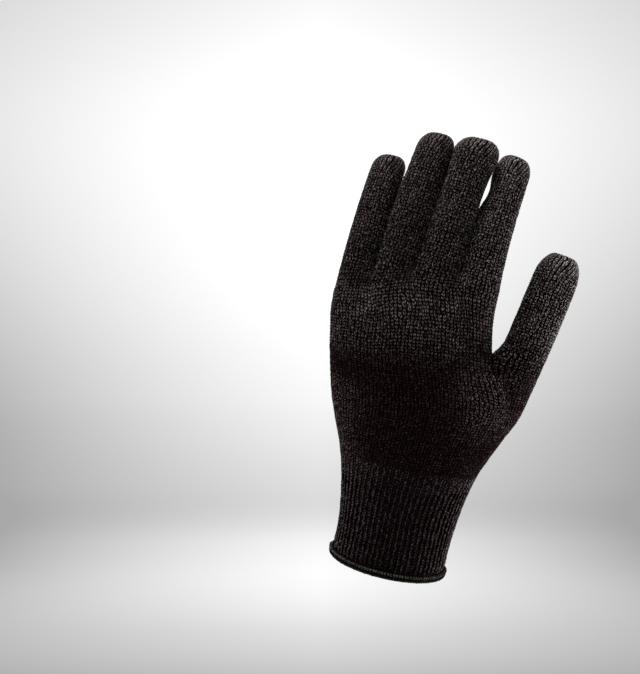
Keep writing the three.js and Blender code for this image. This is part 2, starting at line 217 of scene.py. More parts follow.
# Small helpers
def rise(value):
    """A soft step from 0 to 1."""
    share = np.clip(value, 0, 1)
    return share * share * (3 - 2 * share)


def fall(distance, spread):
    """1 at no distance, with a soft fall to 0 at the spread."""
    return np.maximum(0, 1 - distance / spread) ** 2


def lerp(a, b, share):
    return a + (b - a) * share


def points(x, y, z):
    """Three arrays as one array of points."""
    return np.stack(np.broadcast_arrays(x, y, z), axis=-1).astype(float)


# Outlines of the hand
def section_at(sections, z):
    """The columns of a section table at given heights, on smooth curves through its rows."""
    rows = np.asarray(sections["z"], float)
    low = np.clip(np.searchsorted(rows, z) - 1, 0, len(rows) - 2)
    before = np.maximum(low - 1, 0)
    after = np.minimum(low + 2, len(rows) - 1)
    span = rows[low + 1] - rows[low]
    share = np.clip((z - rows[low]) / span, 0, 1)
    square = share * share
    cube = square * share
    section = {}
    for key, column in sections.items():
        values = np.asarray(column, float)
        slope_low = (values[low + 1] - values[before]) / (rows[low + 1] - rows[before]) * span
        slope_high = (values[after] - values[low]) / (rows[after] - rows[low]) * span
        section[key] = (
            values[low] * (2 * cube - 3 * square + 1)
            + values[low + 1] * (3 * square - 2 * cube)
            + slope_low * (cube - 2 * square + share)
            + slope_high * (cube - square)
        )
    return section


def oval_point(sections, z, angle):
    """Points of a squared oval whose two sides bend towards the palm."""
    section = section_at(sections, z)
    power = 2 / section["square"]
    across = np.sign(np.cos(angle)) * np.abs(np.cos(angle)) ** power
    through = np.sign(np.sin(angle)) * np.abs(np.sin(angle)) ** power
    bend = np.where(across > 0, section["thumb_bend"], section["little_bend"]) * across**2
    x = (section["right"] + section["left"]) / 2 + (section["right"] - section["left"]) / 2 * across
    y = (section["back"] + section["palm"]) / 2 - (section["palm"] - section["back"]) / 2 * through
    return points(x, y + bend, z)


# A lookup from equal distances round the oval to angles, which stays a little inside its last step
OVAL_STEPS = 720
OVAL_LEVEL = 2.0
INSIDE = 0.001


def arc_angles(sections):
    """For levels one step apart, the angles at equal distances round the oval."""
    levels = np.arange(sections["z"][0], sections["z"][-1] + OVAL_LEVEL, OVAL_LEVEL)
    angles = np.linspace(0, math.tau, OVAL_STEPS + 1)
    lines = oval_point(sections, levels[:, None], angles[None, :])
    steps = np.linalg.norm(np.diff(lines, axis=1), axis=2)
    reach = np.concatenate([np.zeros((len(levels), 1)), np.cumsum(steps, axis=1)], axis=1)
    shares = np.linspace(0, 1, OVAL_STEPS + 1)
    return np.array([np.interp(shares, line / line[-1], angles) for line in reach])


ARC_ANGLES = {id(sections): arc_angles(sections) for sections in (LOWER_SECTIONS, UPPER_SECTIONS)}


def oval_at(sections, share, z):
    """Points at shares of the way round the oval."""
    lookup = ARC_ANGLES[id(sections)]
    level = np.clip((z - sections["z"][0]) / OVAL_LEVEL, 0, len(lookup) - 1 - INSIDE)
    step = np.clip(np.mod(share, 1) * OVAL_STEPS, 0, OVAL_STEPS - INSIDE)
    level, step = np.broadcast_arrays(level, step)
    i = level.astype(int)
    k = step.astype(int)
    low = lerp(lookup[i, k], lookup[i, k + 1], step - k)
    high = lerp(lookup[i + 1, k], lookup[i + 1, k + 1], step - k)
    return oval_point(sections, z, lerp(low, high, level - i))


# Digits: the angle of each side that can have a web, and which way angles turn from it to the back
WEB_SIDES = {"right": {"angle": 0.0, "turn": 1.0}, "left": {"angle": math.pi, "turn": -1.0}}
SPINE_STEP = 0.5
SPINE_BELOW = 70.0


def digit_directions(digit, share):
    """A digit's directions along, across and through it, at a share of its length."""
    lean = np.radians(digit["lean"] + digit["bow"] * share)
    bend = np.radians(digit["flex"] + digit["curl"] * share)
    along = points(np.sin(lean) * np.cos(bend), np.sin(bend), np.cos(lean) * np.cos(bend))
    across = points(np.cos(lean), 0, -np.sin(lean))
    through = points(-np.sin(lean) * np.sin(bend), np.cos(bend), -np.cos(lean) * np.sin(bend))
    return along, across, through


def placed_digit(row):
    """A digit's row with its webs, its root, and its middle line as a table of points."""
    left = WEBS[row["left"]]
    right = WEBS[row["right"]]
    middle = (np.array(left["point"]) + np.array(right["point"])) / 2
    span = (np.array(right["point"]) - np.array(left["point"])) * (1, 0, 1)
    lean = math.radians(row["lean"])
    across = span @ (math.cos(lean), 0, -math.sin(lean))
    along = span @ (math.sin(lean), 0, math.cos(lean))
    digit = dict(row, webs={"left": left, "right": right})
    digit["half_web"] = row["web_sides"] * SIDE
    digit["root_width"] = across - row["reach"]
    digit["slope"] = along / across
    root = middle + span / np.linalg.norm(span) * row["reach"] / 2
    steps = np.arange(0, row["length"] + SPINE_STEP, SPINE_STEP)
    moves = digit_directions(digit, (steps[:-1] + SPINE_STEP / 2) / row["length"])[0] * SPINE_STEP
    line = root + np.concatenate([np.zeros((1, 3)), np.cumsum(moves, axis=0)])
    foot = root - SPINE_BELOW * digit_directions(digit, np.zeros(1))[0]
    digit["spine_reach"] = np.concatenate([[-SPINE_BELOW], steps])
    digit["spine"] = np.concatenate([foot, line])
    return digit


digits = {row["name"]: placed_digit(row) for row in rows_of(DIGITS)}
thumb = digits["thumb"]

# The factors of a cubic curve through values at 0, 1/3, 2/3 and 1: of its ends and of its thirds
CUBIC_END = 4.5
CUBIC_THIRD = 13.5


def digit_halves(digit, distance):
    """Half the width and half the depth of a digit at a distance from its root."""
    body = digit["length"] - digit["dome"]
    share = np.clip(distance / body, 0, 1)
    low, high, end = share - 1 / 3, share - 2 / 3, share - 1
    width = (
        -CUBIC_END * digit["root_width"] * low * high * end
        + CUBIC_THIRD * digit["low_width"] * share * high * end
        - CUBIC_THIRD * digit["high_width"] * share * low * end
        + CUBIC_END * digit["tip_width"] * share * low * high
    )
    into_dome = np.clip((distance - body) / digit["dome"], 0, 1)
    shrink = (1 - into_dome**TIP_SQUARE) ** (1 / TIP_SQUARE)
    return width / 2 * lerp(TIP_LINE, 1, shrink), width / 2 * digit["depth"] * shrink


def tube_point(digit, angle, distance):
    """A digit's plain surface, before it is drawn to its webs."""
    angle, distance = np.broadcast_arrays(angle, distance)
    spine = digit["spine"].T
    middle = points(*(np.interp(distance, digit["spine_reach"], axis) for axis in spine))
    along, across, through = digit_directions(digit, np.maximum(0, distance / digit["length"]))
    half_across, half_through = digit_halves(digit, distance)
    from_waist = np.abs(digit["length"] - distance - WAIST_BELOW_TIP)
    drawn_in = digit["waist"] * rise(1 - from_waist / WAIST_REACH)
    aside = half_across * np.cos(angle) + drawn_in * np.maximum(0, -np.cos(angle))
    for name, side in WEB_SIDES.items():
        end = digit[f"{name}_press_end"]
        share = rise((distance - PRESS_START) / PRESS_FADE) * rise((end - distance) / PRESS_FADE)
        facing = np.maximum(0, side["turn"] * np.cos(angle)) ** 2
        aside = aside + side["turn"] * digit[f"{name}_press"] * share * facing
    slope = digit["slope"] * (1 - rise(distance / digit["fade"]))
    slope = slope + digit["tilt"] * rise(1 - (digit["length"] - distance) / TILT_LENGTH)
    return (
        middle
        + across * aside[..., None]
        - through * (half_through * np.sin(angle))[..., None]
        + along * (slope * aside)[..., None]
    )


def web_hold(digit, name, angle):
    """How much of a web's pull a point of the digit feels, and where on the web's line it is held."""
    side = WEB_SIDES[name]
    beside = angle - side["angle"]
    from_side = side["turn"] * np.arctan2(np.sin(beside), np.cos(beside))
    beyond = np.maximum(0, np.abs(from_side) - digit["half_web"])
    return fall(beyond, WEB_SPREAD), np.clip(from_side, -digit["half_web"], digit["half_web"])


def web_line(web, share):
    """A point on a web's line, from its end at the back (1) to its end at the palm (-1)."""
    x, y, z = web["point"]
    return points(x, y - web["half"] * share, z)


def digit_point(digit, angle, distance):
    """A digit's surface: a bent tube, drawn to its webs at the root."""
    angle, distance = np.broadcast_arrays(angle, distance)
    result = tube_point(digit, angle, distance)
    pull = 1 - rise(distance / digit["fade"])
    for name, side in WEB_SIDES.items():
        web = digit["webs"][name]
        if web["half"] > 0:
            hold, held = web_hold(digit, name, angle)
            start = tube_point(digit, side["angle"] + side["turn"] * held, np.zeros_like(held))
            shift = web_line(web, held / digit["half_web"]) - start
            result = result + shift * (hold * pull)[..., None]
    return result


def root_height(digit, angle):
    return digit_point(digit, angle, np.zeros_like(angle))[..., 2]


# The hand
def web_valley(digit, name, face, z):
    """The line that a web's end on one face follows down the hand, as part of the digit."""
    side = WEB_SIDES[name]
    end = side["angle"] + side["turn"] * face * digit["half_web"]
    drop = np.minimum(0, z - digit["webs"][name]["point"][2])
    return digit_point(digit, np.full_like(z, end), drop)


def meet(lobe, own_valley, other_valley, hold):
    """Moves a lobe of the hand so that it meets its neighbour half way along the valley between them."""
    return lobe + (other_valley - own_valley) * (hold / 2)[..., None]


def palm_web_shift(column, z):
    """The palm's thumb edge is drawn to the thumb's web as a digit's root is."""
    from_side = np.where(column > UPPER_COLUMNS / 2, column - UPPER_COLUMNS, column)
    hold = fall(np.maximum(0, np.abs(from_side) - WEB_COLUMNS), WEB_COLUMN_SPREAD)
    held = np.clip(from_side, -WEB_COLUMNS, WEB_COLUMNS)
    plain = oval_at(UPPER_SECTIONS, held / UPPER_COLUMNS, np.full_like(z, THUMB_FORK))
    pull = 1 - rise(np.abs(z - THUMB_FORK) / thumb["fade"])
    return (web_line(WEBS["thumb_web"], held / WEB_COLUMNS) - plain) * (hold * pull)[..., None]


def in_run(run, column):
    """Which columns lie in a run of the palm, both of its ends included."""
    return (column >= run["first"]) & (column <= run["last"])


def run_angle(run, column):
    """The angle on a run's finger below which a palm column lies."""
    return (run["first_side"] + column - run["first"]) * SIDE


def palm_lobe(run, column, z):
    """The part of the hand that goes up into one finger, and how much of it shows at each point."""
    digit = digits[run["finger"]]
    angle = run_angle(run, column)
    below = root_height(digit, angle) - z
    lobe = digit_point(digit, angle, -below)
    place = FINGERS.index(run["finger"])
    nearest_hold = np.zeros_like(z)
    for name, step, other_name in (("right", -1, "left"), ("left", 1, "right")):
        if 0 <= place + step < len(FINGERS):
            hold, _ = web_hold(digit, name, angle)
            own_valley = web_valley(digit, name, run["face"], z)
            neighbour = digits[FINGERS[place + step]]
            lobe = meet(lobe, own_valley, web_valley(neighbour, other_name, run["face"], z), hold)
            nearest_hold = np.maximum(nearest_hold, hold)
    fade = lerp(FINGER_LOBE_FADE, FINGER_WEB_FADE, np.sqrt(nearest_hold))
    return lobe, 1 - rise(below / fade)


def palm_point(column, z):
    """The palm: an oval that turns into the four fingers' roots at its top."""
    column, z = np.broadcast_arrays(np.clip(column, 0, UPPER_COLUMNS), z)
    oval = oval_at(UPPER_SECTIONS, column / UPPER_COLUMNS, z)
    result = oval.copy()
    for run in PALM_RUNS:
        inside = in_run(run, column)
        lobe, share = palm_lobe(run, column[inside], z[inside])
        result[inside] = lerp(oval[inside], lobe, share[..., None])
    return result + palm_web_shift(column, z)


def palm_root_height(column):
    """The height where each palm column reaches its finger."""
    height = np.zeros_like(column)
    for run in PALM_RUNS:
        inside = in_run(run, column)
        height[inside] = root_height(digits[run["finger"]], run_angle(run, column[inside]))
    return height


def is_thumb(column):
    """Which columns of the lower hand go up into the thumb."""
    return (column < THUMB_COLUMNS) | (column > LOWER_COLUMNS - THUMB_COLUMNS)


def thumb_angle(column):
    """The angle on the thumb below which one of its columns lies."""
    side = np.where(column < LOWER_COLUMNS / 2, column, column - LOWER_COLUMNS + DIGIT_SIDES)
    return side * SIDE


def palm_edge(face, z):
    """The palm's column at an end of the thumb's web, and its line down the hand from there."""
    end_column = WEB_COLUMNS if face == 1 else UPPER_COLUMNS - WEB_COLUMNS
    return end_column, palm_point(np.full_like(z, end_column), z)


def palm_branch(column, z, face):
    """The part of the lower hand that goes up into the palm, and how much of it shows at each point."""
    palm_column = column - COLUMN_SHIFT
    end_column, edge = palm_edge(face, z)
    hold = fall(np.abs(palm_column - end_column), WEB_COLUMN_SPREAD)
    branch = meet(palm_point(palm_column, z), edge, web_valley(thumb, "left", face, z), hold)
    fade = lerp(THUMB_LOBE_FADE, THUMB_WEB_FADE, np.sqrt(hold))
    return branch, 1 - rise((THUMB_FORK - z) / fade)


def thumb_branch(column, z, face):
    """The part of the lower hand that goes up into the thumb, and how much of it shows at each point."""
    angle = thumb_angle(column)
    below = root_height(thumb, angle) - z
    hold, _ = web_hold(thumb, "left", angle)
    _, edge = palm_edge(face, z)
    branch = meet(digit_point(thumb, angle, -below), web_valley(thumb, "left", face, z), edge, hold)
    fade = lerp(THUMB_LOBE_FADE, THUMB_WEB_FADE, np.sqrt(hold))
    return branch, 1 - rise(below / fade)


def hand_point(column, z):
    """The lower hand, by its own columns: the thumb's, the palm's and the thumb's again."""
    column, z = np.broadcast_arrays(column, z)
    result = oval_at(LOWER_SECTIONS, column / LOWER_COLUMNS, z)
    on_back = column < LOWER_COLUMNS / 2
    on_thumb = is_thumb(column)
    for branch_at, on_branch in ((palm_branch, ~on_thumb), (thumb_branch, on_thumb)):
        for face, on_face in ((1, on_back), (-1, ~on_back)):
            inside = on_branch & on_face
            branch, share = branch_at(column[inside], z[inside], face)
            result[inside] = lerp(result[inside], branch, share[..., None])
    return result


# Where each part's stitches lie: from a wale and a course to a point
def lower_column(wale):
    """The lower hand's column at a wale."""
    wales = (0, thumb["side_wales"], LOWER_WALES - thumb["side_wales"], LOWER_WALES)
    columns = (0, THUMB_COLUMNS, LOWER_COLUMNS - THUMB_COLUMNS, LOWER_COLUMNS)
    return np.interp(wale, wales, columns)


def fork_height(palm_column):
    """The height of the course that passes through the thumb's fork."""
    beside_web = palm_root_height(np.array([float(WEB_COLUMNS)]))[0]
    share = (THUMB_FORK - CUFF_TOP) / (beside_web - CUFF_TOP)
    drop = (palm_root_height(palm_column) - beside_web) * share
    from_web = np.minimum(palm_column, UPPER_COLUMNS - palm_column) - WEB_COLUMNS
    return THUMB_FORK + drop * rise(from_web / WEB_COLUMNS)


def lower_place(wale, course):
    column = lower_column(wale)
    palm_column = np.clip(column - COLUMN_SHIFT, WEB_COLUMNS, UPPER_COLUMNS - WEB_COLUMNS)
    thumb_root = root_height(thumb, thumb_angle(column))
    top = np.where(is_thumb(column), thumb_root, fork_height(palm_column))
    return hand_point(column, lerp(CUFF_TOP, top, course / LOWER_COURSES))


def upper_place(wale, course):
    column = wale * UPPER_COLUMNS / UPPER_WALES
    z = lerp(fork_height(column), palm_root_height(column), course / UPPER_COURSES)
    below_fork = z < THUMB_FORK
    result = palm_point(column, z)
    result[below_fork] = hand_point(column[below_fork] + COLUMN_SHIFT, z[below_fork])
    return result


def cuff_place(wale, course):
    z = lerp(HEM_HEIGHT - HEM_LAP, CUFF_TOP, course / CUFF_COURSES)
    even = wale / LOWER_WALES
    hand = lower_column(wale) / LOWER_COLUMNS
    into_hand = rise((z - EVEN_RIBS_TOP) / (CUFF_TOP - EVEN_RIBS_TOP))
    return oval_at(LOWER_SECTIONS, lerp(even, hand, into_hand), z)


def digit_wales(digit):
    """The wales at the corners of a digit's root, and the angles there."""
    webs = {name: int(web["half"] > 0) for name, web in digit["webs"].items()}
    right = webs["right"] * digit["half_web"]
    left = webs["left"] * digit["half_web"]
    side = digit["side_wales"]
    half_right = webs["right"] * digit["web_wales"] / 2
    counts = (0, half_right, side, webs["left"] * digit["web_wales"], side, half_right)
    angles = np.array([0, right, math.pi - left, math.pi + left, math.tau - right, math.tau])
    corners, kept = np.unique(np.cumsum(counts), return_index=True)
    return corners, angles[kept]


def digit_lengths(digit):
    """Distances from the root and the lengths of the surface up to them."""
    body = digit["length"] - digit["dome"]
    turn = np.linspace(0, math.pi / 2, LENGTH_STEPS)[1:]
    distance = np.concatenate([np.linspace(0, body, LENGTH_STEPS), body + digit["dome"] * np.sin(turn)])
    half = digit_halves(digit, distance)[1]
    reach = np.concatenate([[0], np.cumsum(np.hypot(np.diff(distance), np.diff(half)))])
    return distance, reach


def over_dome(angle, amount):
    """Spreads the wales over the middle of a fingertip and gathers them at its sides."""
    strength = np.maximum(TIP_SPREAD * amount, LEAST_SPREAD)
    across = np.tanh(strength * np.cos(angle)) / np.tanh(strength)
    turned = np.arccos(np.clip(across, -1, 1))
    return np.where(np.mod(angle, math.tau) > math.pi, math.tau - turned, turned)


def digit_place(digit):
    """The function that places a digit's stitches, with its numbers of wales and courses."""
    wales, angles = digit_wales(digit)
    distance, reach = digit_lengths(digit)
    courses = round(reach[-1] / COURSE)

    def place(wale, course):
        along = course / courses * reach[-1]
        out = np.where(along > 0, np.interp(along, reach, distance), along)
        root_angle = np.interp(wale, wales, angles)
        even_angle = wale / wales[-1] * math.tau
        angle = lerp(root_angle, even_angle, rise(out / ANGLE_EASE))
        turn = rise((along - reach[-1] + TIP_TURN) / TIP_TURN)
        angle = over_dome(angle - TIP_TWIST * turn, turn)
        return digit_point(digit, angle, out)

    return place, int(wales[-1]), courses


# Knitting
LEAST_LENGTH = 1e-9


def uneven(rng, wale, course, wales, courses):
    """A smooth random value at each point, with one random number a stitch."""
    grid = rng.standard_normal((courses + 2, wales))
    row = np.clip(course, 0, courses)
    i = row.astype(int)
    k = np.floor(wale).astype(int)
    low = lerp(grid[i, k % wales], grid[i, (k + 1) % wales], wale - k)
    high = lerp(grid[i + 1, k % wales], grid[i + 1, (k + 1) % wales], wale - k)
    return lerp(low, high, row - i)


def outward(places):
    """The direction that faces out of a closed grid of points, rows by columns."""
    round_about = np.roll(places, -1, axis=1) - np.roll(places, 1, axis=1)
    upward = np.gradient(places, axis=0)
    normal = np.cross(upward, round_about)
    length = np.linalg.norm(normal, axis=2, keepdims=True)
    return normal / np.maximum(length, LEAST_LENGTH)


def rib_sink(wale, z):
    """How deep the cuff's knit lies in its furrows, and where it is drawn in above the hem."""
    furrow = (0.5 - 0.5 * np.cos(math.pi * (wale - 0.5))) ** FURROW_POWER
    seam = 1 - rise((z - HEM_HEIGHT) / SEAM_FADE)
    return FURROW * furrow * rise((CUFF_TOP - z) / RIB_FADE) + SEAM_SINK * seam


def knit(place, wales, courses, rng, unevenness, is_rib=False, closed_top=False):
    """The points of a knitted tube: each stitch is two raised legs that lean together at its foot.

    Its first and last rows follow the stitches, as the rows of the next piece do, so that both meet.
    """
    column = np.arange(wales * WALE_COLUMNS)
    row = np.arange(courses * COURSE_ROWS + 1)
    wale, course = np.meshgrid(column / WALE_COLUMNS, row / COURSE_ROWS)
    even_ends = rise(np.minimum(course, courses - course) / EVEN_END)
    closing = rise((courses - course) / CLOSING_COURSES) if closed_top else 1
    from_centre = np.abs(column % WALE_COLUMNS - WALE_COLUMNS // 2)
    leg = np.array(LEG_LINE)[::-1][from_centre]
    across = np.array(ROW_LINE)[row % COURSE_ROWS][:, None]
    lean = from_centre / (WALE_COLUMNS / 2) - 0.5
    if is_rib:
        lean = np.where((column // WALE_COLUMNS) % 2 == 1, 0.5, lean)

    def random_share():
        return uneven(rng, wale, course, wales, courses) * even_ends

    moved_wale = wale + unevenness * random_share()
    moved_course = course + SKEW * lean * closing + unevenness * random_share()
    base = place(np.mod(moved_wale, wales), moved_course)
    rough = 1 + UNEVEN_HEIGHT * random_share()
    lift = (STITCH_HEIGHT * leg * across * rough - STITCH_SINK) * closing
    if is_rib:
        lift = lift - rib_sink(wale, base[..., 2])
    rows = np.unique(np.append(row[:: COURSE_ROWS * INNER_STEP], row[-1]))
    inner = place(wale[rows, :: WALE_COLUMNS * INNER_STEP], course[rows, :: WALE_COLUMNS * INNER_STEP])
    return base + outward(base) * lift[..., None], inner - outward(inner) * KNIT_WALL


# Meshes and pieces. The outer side takes most of the height of the map for baking, above it is a gap,
# and the inner side has the rest.
BAKE_OUTER = 0.92
BAKE_GAP = 0.02


def grid_quads(rows, columns, start=0, inward=False):
    """The quads of a closed grid of points, rows by columns, and each corner's place in it."""
    i, k = np.meshgrid(np.arange(rows - 1), np.arange(columns), indexing="ij")
    corners = [(i, k + 1), (i, k), (i + 1, k), (i + 1, k + 1)]
    if inward:
        corners.reverse()
    index = np.stack([start + a * columns + b % columns for a, b in corners], axis=-1).reshape(-1, 4)
    place = np.stack([np.stack([b / columns, a / (rows - 1)], axis=-1) for a, b in corners], axis=2)
    return index, place.reshape(-1, 2)


def add_uv(mesh, name, values):
    layer = mesh.uv_layers.new(name=name)
    layer.data.foreach_set("uv", values.astype(np.float32).ravel())


def quad_mesh(name, vertices, quads):
    """A smooth mesh of quads, with its vertices in metres."""
    mesh = bpy.data.meshes.new(name)
    mesh.from_pydata(vertices, [], quads, shade_flat=False)
    return mesh


def new_object(name, data):
    """A new object in the scene."""
    result = bpy.data.objects.new(name, data)
    bpy.context.scene.collection.objects.link(result)
    return result


def add_piece(name, vertices, quads, bake, stitch, nodes, yarn):
    """Adds a piece of the glove, with its two maps, in place of its plain nodes."""
    mesh = quad_mesh(name, vertices * MM, quads)
    add_uv(mesh, "OFBake", bake)
    add_uv(mesh, "Stitch", stitch)
    mesh.materials.append(yarns[yarn])
    piece = new_object(name, mesh)
    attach(piece, "root")
    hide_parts(*nodes)


def add_knit(name, outer, inner, stitches, nodes, yarn, first_course=0):
    """Adds a knitted tube with its plain inner wall."""
    quads, place = grid_quads(*outer.shape[:2])
    outer = outer.reshape(-1, 3)
    inner_quads, inner_place = grid_quads(*inner.shape[:2], len(outer), inward=True)
    vertices = np.concatenate([outer, inner.reshape(-1, 3)])
    quads = np.concatenate([quads, inner_quads])
    inner_start = BAKE_OUTER + BAKE_GAP
    inner_room = inner_place * (1, 1 - inner_start) + (0, inner_start)
    bake = np.concatenate([place * (1, BAKE_OUTER), inner_room])
    stitch = np.concatenate([place, inner_place]) * stitches + (0, first_course)
    add_piece(name, vertices, quads, bake, stitch, nodes, yarn)


# Shader helpers
def fill(tree, node, inputs):
    """Sets a node's inputs to values, or links them to outputs."""
    for key, value in dict(inputs).items():
        if isinstance(value, bpy.types.NodeSocket):
            tree.links.new(value, node.inputs[key])
        else:
            node.inputs[key].default_value = value


def linked(tree, kind, inputs=(), **settings):
    """A new shader node with its settings, values and incoming links."""
    node = tree.nodes.new(kind)
    for key, value in settings.items():
        setattr(node, key, value)
    fill(tree, node, inputs)
    return node


def new_material(name):
    """A new material with its nodes and its shader."""
    material = bpy.data.materials.new(name)
    material.use_nodes = True
    tree = material.node_tree
    return material, tree, tree.nodes["Principled BSDF"]


def calc(tree, operation, *values):
    return linked(tree, "ShaderNodeMath", enumerate(values), operation=operation).outputs[0]


def product(tree, first, *others):
    for other in others:
        first = calc(tree, "MULTIPLY", first, other)
    return first


def vector_calc(tree, operation, inputs):
    return linked(tree, "ShaderNodeVectorMath", inputs, operation=operation).outputs[0]


def split(tree, place):
    """The first two numbers of a place."""
    return linked(tree, "ShaderNodeSeparateXYZ", {0: place}).outputs[:2]


def mapped(tree, name):
    """The place on one of the mesh's maps."""
    return linked(tree, "ShaderNodeUVMap", uv_map=name).outputs["UV"]


def grey(tone):
    return (tone, tone, tone, 1)


def blend(tree, share, low, high):
    """A colour between two colours."""
    inputs = {0: share, 6: low, 7: high}
    return linked(tree, "ShaderNodeMix", inputs, data_type="RGBA", clamp_factor=True).outputs[2]


def between(tree, share, low, high):
    """A number between two numbers."""
    return linked(tree, "ShaderNodeMapRange", {0: share, 3: low, 4: high}).outputs[0]


def noise(tree, place, stretch):
    """Smooth noise, with how many of its waves go into a wale and a course."""
    stretched = vector_calc(tree, "MULTIPLY", {0: place, 1: (*stretch, 1)})
    return linked(tree, "ShaderNodeTexNoise", {"Vector": stretched, "Scale": 1.0}).outputs[0]


# Zones of the knit, which are soft steps: what they go by, their middle if they lie about one, where
# they start and are full, and their value outside and inside if it isn't 0 and 1
ZONES = table(("by", "middle", "start", "full", "outside", "inside"), {
    # In one stitch, by shares of its wale and course, and by the noise of its fibres; the leg, groove and
    # row zones place painted light on the legs and painted shade between them
    "leg": ("wale", 0.5, 0.4, 0.18),
    "groove": ("wale", 0.5, 0.16, 0, 1, 0.1),
    "row": ("course", 0.5, 0.42, 0.12),
    "fibre": ("fibre", None, 0.35, 0.7, 0.6, 1.5),
    # In a digit, by courses down from its tip and wales from its outer side; the thumb's side and root
    # zones place its painted light and shade
    "tip_wander": ("along", None, -14, -8, 1, 0.3),
    "tip_gap": ("along", None, -14, -8, 0, 0.6),
    "thumb_side": ("from_thumb", None, 16, 4, 0.5, 1.45),
    "thumb_root": ("along", None, -30, -46, 1, 0.42),
    # In the cuff and the hand, by wales from the thumb's side and courses up from the part's foot; they
    # place the painted light and shade of the cuff, the hand and the knuckles
    "cuff_edge": ("from_thumb", LOWER_WALES / 4, 4, 26, 0.65, 1.5),
    "beside_ridge": ("along", None, 30, 44, 0.35, 0.65),
    "ridge": ("from_thumb", 16, 9, 3),
    "thumb_half": ("from_thumb", None, 32, 18),
    "thumb_edge": ("from_thumb", None, 14, 8),
    "thumb_foot": ("along", None, 11, 25),
    "below_fork": ("along", 29, 18, 4),
    "little_edge": ("from_thumb", None, 44, 62),
    "below_knuckles": ("along", None, 36, 24),
    "knuckles": ("along", None, 36, 54),
    "beside_fork": ("from_thumb", None, 18, 6),
    "above_fork": ("along", None, 14, 4),
    "upward": ("along", None, -8, 12, 0.3, 1),
})

# Painted light and shade on the knit, as shares of its light: from a rib to a furrow, from the middle of
# the hand to its lightest parts, and away from the thumb's fork and beside it
RIB_LIGHT = (1.0, 0.3)
PALM_LIGHT = (0.21, 0.9)
FORK_LIGHT = (1.0, 0.35)


def zone(tree, places, name, **changes):
    """A zone's value at each point of the knit, with any changes to its row."""
    row = {"outside": 0, "inside": 1, **ZONES[name], **changes}
    value = places[row["by"]]
    if row["middle"] is not None:
        value = calc(tree, "ABSOLUTE", calc(tree, "SUBTRACT", value, row["middle"]))
    inputs = {0: value, 1: row["start"], 2: row["full"], 3: row["outside"], 4: row["inside"]}
    return linked(tree, "ShaderNodeMapRange", inputs, interpolation_type="SMOOTHSTEP").outputs[0]


def zones(tree, places, *names):
    """The product of some zones' values."""
    return product(tree, *(zone(tree, places, name) for name in names))


def cuff_painted_light(tree, places):
    """Painted shade in the furrows between the ribs and down the middle of the back and the palm, and
    painted light on the cuff's thumb and little-finger sides.
    """
    from_rib = calc(tree, "PINGPONG", calc(tree, "SUBTRACT", places["across"], 0.5), 1.0)
    return product(tree, between(tree, from_rib, *RIB_LIGHT), zone(tree, places, "cuff_edge"))


def hand_painted_light(tree, places):
    """Painted shade in the middle of the hand, and painted light on its two edges and the knuckles."""
    ridge = zone(tree, places, "ridge", outside=zone(tree, places, "beside_ridge"))
    mound = product(tree, zone(tree, places, "thumb_half"), ridge)
    below_thumb = zones(tree, places, "thumb_foot", "thumb_edge")
    height = calc(tree, "MAXIMUM", zone(tree, places, "below_fork"), below_thumb)
    little_edge = zones(tree, places, "little_edge", "below_knuckles")
    edges = calc(tree, "MAXIMUM", product(tree, mound, height), little_edge)
    return between(tree, calc(tree, "MAXIMUM", edges, zone(tree, places, "knuckles")), *PALM_LIGHT)


def knuckle_painted_light(tree, places):
    """Painted shade beside the thumb's fork, and painted light that grows up the knuckles."""
    by_fork = between(tree, zones(tree, places, "beside_fork", "above_fork"), *FORK_LIGHT)
    return product(tree, by_fork, zone(tree, places, "upward"))


def thumb_painted_light(tree, places):
    """Painted light on the thumb's outer side, and painted shade on its side by the palm and towards its
    root.
    """
    return zone(tree, places, "thumb_root", outside=zone(tree, places, "thumb_side"))


# Yarns: the colours in the gaps, the yarn's own near-black deepened as painted shade, and on the open legs
# as painted light; how far the stitches wander, how light the gap between two rows stays, the painted light
# and shade laid over the part, and the wales round that part. The light colours of the finger, thumb,
# knuckle, hand and cuff yarns differ from part to part as painted light and shade.
FINGER_DARK = (0.0045, 0.001, 0.001)
THUMB_WALES = 2 * thumb["side_wales"] + thumb["web_wales"]
YARNS = table(("dark", "light", "wander", "gap", "has_tip", "field", "wales"), {
    "outer_finger_yarn": (FINGER_DARK, (0.235, 0.204, 0.2), 1, 0.05, True, None, None),
    "finger_yarn": (FINGER_DARK, (0.28, 0.244, 0.24), 1, 0.05, True, None, None),
    "index_yarn": (FINGER_DARK, (0.36, 0.315, 0.31), 1, 0.05, True, None, None),
    "thumb_yarn": (FINGER_DARK, (0.45, 0.395, 0.39), 1, 0.05, True, thumb_painted_light, THUMB_WALES),
    "knuckle_yarn": ((0.005, 0.001, 0.001), (0.33, 0.29, 0.285), 0.8, 0.05, False, knuckle_painted_light, UPPER_WALES),
    "hand_yarn": ((0.0075, 0.001, 0.001), (0.28, 0.235, 0.23), 1, 0.08, False, hand_painted_light, LOWER_WALES),
    "cuff_yarn": ((0.006, 0.001, 0.0015), (0.22, 0.178, 0.187), 0.9, 0.35, False, cuff_painted_light, LOWER_WALES),
    "hem_yarn": ((0.006, 0.004, 0.003), (0.14, 0.136, 0.118), 0, 0.05, False, None, None),
    "chain_yarn": ((0.008, 0.006, 0.005), (0.38, 0.37, 0.33), 0, 0.05, False, None, None),
})

# What all yarns share: how the stitches wander and differ, how sharp their painted light and shade are, the
# twist of the plies, the fibres and the dye
WANDER_SCALE = 0.9
STITCH_CONTRAST = 2.3
CHANCE_POWER = 1.3
CHANCE_LIGHT = (0.3, 2.2)
PLY_TURNS = (5.0, 3.0)
FIBRE_WAVES = (7, 4)
FIBRE_HEIGHT = 0.6
DYE_WAVES = (0.14, 0.1)
DYE_LIGHT = (0.8, 1.2)
BUMP = {"Strength": 0.6, "Distance": 0.00015}
YARN_SURFACE = {"Roughness": 0.7, "Specular IOR Level": 0.01, "Sheen Weight": 0.003, "Sheen Roughness": 0.4}


